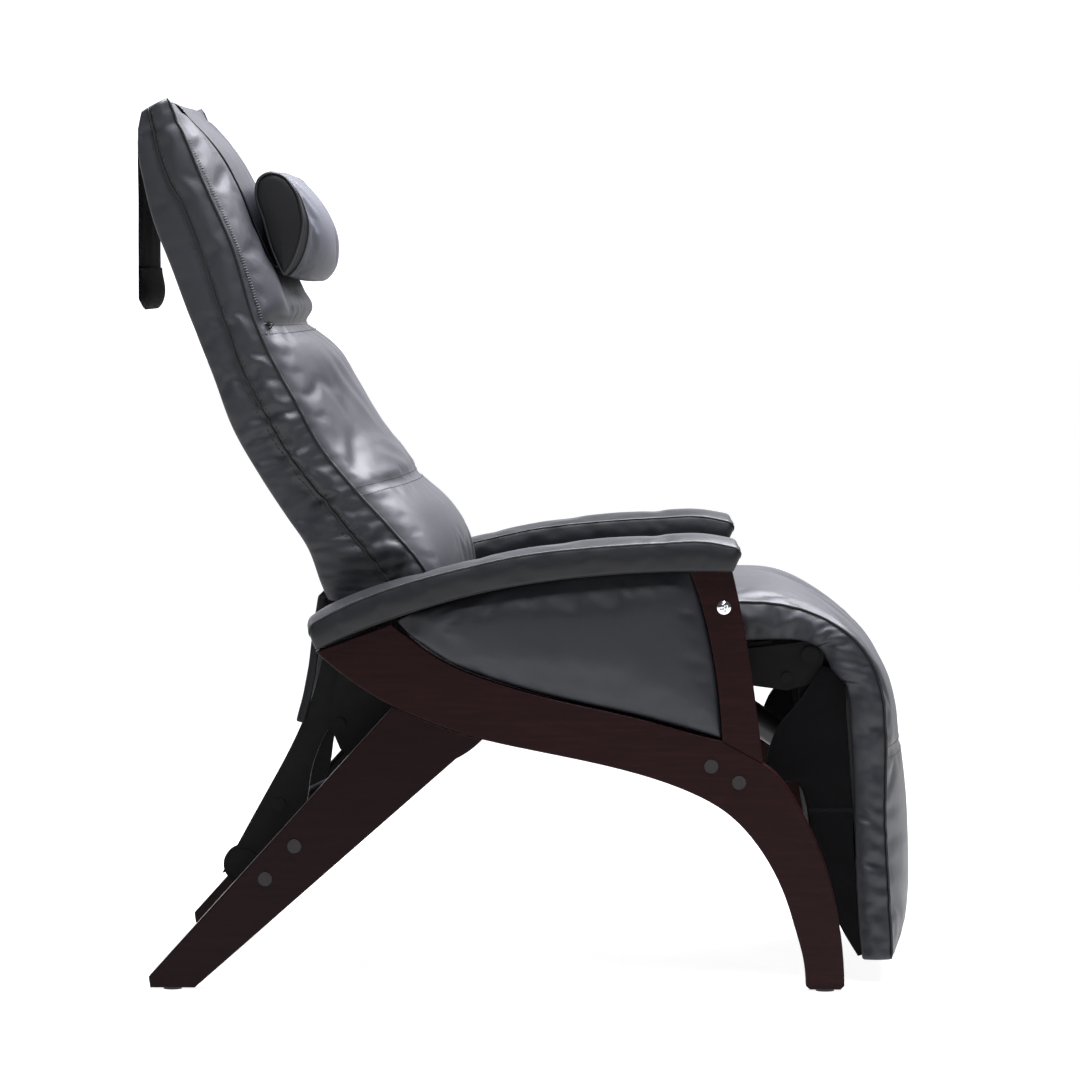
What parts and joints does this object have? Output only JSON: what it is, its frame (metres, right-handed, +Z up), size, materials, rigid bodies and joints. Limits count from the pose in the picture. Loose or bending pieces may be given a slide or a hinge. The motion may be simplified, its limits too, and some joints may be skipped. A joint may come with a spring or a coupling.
{
  "type": "zero gravity recliner",
  "caption": "Power recliner with curved wooden side frames, padded arms, a leather back that reclines and a leg rest that lifts.",
  "frame": {"origin": "on the floor, under the middle of the chair's box", "axes": "+X forward, +Y to the sitter's left, +Z up"},
  "size_m": [1.0281, 0.744, 1.1619],
  "materials": {
    "dark_wood": "satin espresso lacquer",
    "plywood": "dark-stained plywood",
    "leather": "soft semi-gloss charcoal leather",
    "black_fabric": "matt woven lining",
    "elastic_webbing": "woven elastic",
    "black_plastic": "fine-textured moulding",
    "chrome": "polished",
    "zinc_steel": "zinc plated",
    "dark_bolts": "matt plug caps",
    "black_steel": "matt black powder coat"
  },
  "bodies": {
    "base": {"wood_rail_right": "dark_wood", "wood_rail_left": "dark_wood", "rear_leg_right": "dark_wood", "rear_leg_left": "dark_wood", "front_post_right": "dark_wood", "front_post_left": "dark_wood", "arm_board_right": "plywood", "arm_board_left": "plywood", "arm_pad_right": "leather", "arm_pad_left": "leather", "side_panel_right": "leather", "side_panel_left": "leather", "side_plate_right": "black_steel", "side_plate_left": "black_steel", "subframe_plate_right": "black_steel", "subframe_plate_left": "black_steel", "foot_glides": "black_plastic", "frame_bolts": "dark_bolts", "post_bolts": "chrome", "rear_cross_tube": "black_steel", "mid_cross_tube": "black_steel", "front_cross_tube": "black_steel", "actuator_mount": "black_steel", "actuator_base_pins": "zinc_steel", "subframe_bolts": "zinc_steel", "back_pivot_pins": "zinc_steel", "legrest_pivot_pins": "zinc_steel", "pivot_washers": "zinc_steel", "seat_frame": "black_steel", "seat_webbing": "elastic_webbing", "seat_cushion": "leather", "knee_cushion": "leather", "control_box": "black_plastic"},
    "back": {"back_frame": "black_steel", "back_webbing": "elastic_webbing", "back_lever_right": "black_steel", "back_lever_left": "black_steel", "lever_cross_tube": "black_steel", "lever_rod_pin": "zinc_steel", "lever_bolts": "zinc_steel", "head_cushion": "leather", "mid_back_cushion": "leather", "lumbar_cushion": "leather", "back_rear_panel": "leather", "back_skirt": "leather", "head_strap": "leather"},
    "legrest": {"leg_plate_right": "black_steel", "leg_plate_left": "black_steel", "leg_crossbar": "black_steel", "leg_rod_pin": "zinc_steel", "leg_board": "plywood", "calf_cushion": "leather", "leg_lining": "black_fabric"},
    "back_actuator": {"back_actuator_body": "black_plastic"},
    "back_rod": {"back_actuator_rod": "black_steel"},
    "leg_actuator": {"leg_actuator_body": "black_plastic"},
    "leg_rod": {"leg_actuator_rod": "black_steel"},
    "pillow_body": {"pillow": "leather"},
    "flap": {"strap_flap": "black_fabric"},
    "weight": {"strap_weight": "black_fabric"}
  },
  "joints": [
    {"name": "back_recline", "type": "hinge", "parent": "base", "child": "back", "pos_m": [-0.215, 0, 0.425], "axis": [0, -1, 0], "range_deg": [0, 45]},
    {"name": "legrest_lift", "type": "hinge", "parent": "base", "child": "legrest", "pos_m": [0.376, 0, 0.43], "axis": [0, -1, 0], "range_deg": [0, 70], "deforming": ["knee_cushion"]},
    {"name": "back_actuator_tilt", "type": "hinge", "parent": "base", "child": "back_actuator", "pos_m": [0.05328, 0, 0.39206], "axis": [0, -1, 0], "range_deg": [0, 22.5]},
    {"name": "back_rod_swing", "type": "hinge", "parent": "back", "child": "back_rod", "pos_m": [-0.352, 0, 0.192], "axis": [0, -1, 0], "range_deg": [-22.5, 0]},
    {"name": "leg_actuator_tilt", "type": "hinge", "parent": "base", "child": "leg_actuator", "pos_m": [0.21543, 0, 0.39204], "axis": [0, -1, 0], "range_deg": [0, 35]},
    {"name": "leg_rod_swing", "type": "hinge", "parent": "legrest", "child": "leg_rod", "pos_m": [0.39982, 0, 0.26673], "axis": [0, -1, 0], "range_deg": [-35, 0]},
    {"name": "pillow_slide", "type": "slide", "parent": "back", "child": "pillow_body", "axis": [-0.2732, 0, 0.962], "range_m": [0, 0.04]},
    {"name": "flap_hang", "type": "hinge", "parent": "back", "child": "flap", "pos_m": [-0.5125, 0, 1.121], "axis": [0, -1, 0], "range_deg": [-45, 0]},
    {"name": "weight_drop", "type": "slide", "parent": "flap", "child": "weight", "axis": [0, 0, 1], "range_m": [-0.04, 0]}
  ],
  "couplings": [
    {"joint": "back_actuator_tilt", "follows": "back_recline", "ratio": 0.5},
    {"joint": "back_rod_swing", "follows": "back_recline", "ratio": -0.5},
    {"joint": "leg_actuator_tilt", "follows": "legrest_lift", "ratio": 0.5},
    {"joint": "leg_rod_swing", "follows": "legrest_lift", "ratio": -0.5},
    {"joint": "flap_hang", "follows": "back_recline", "ratio": -1},
    {"joint": "weight_drop", "follows": "pillow_slide", "ratio": -1}
  ]
}
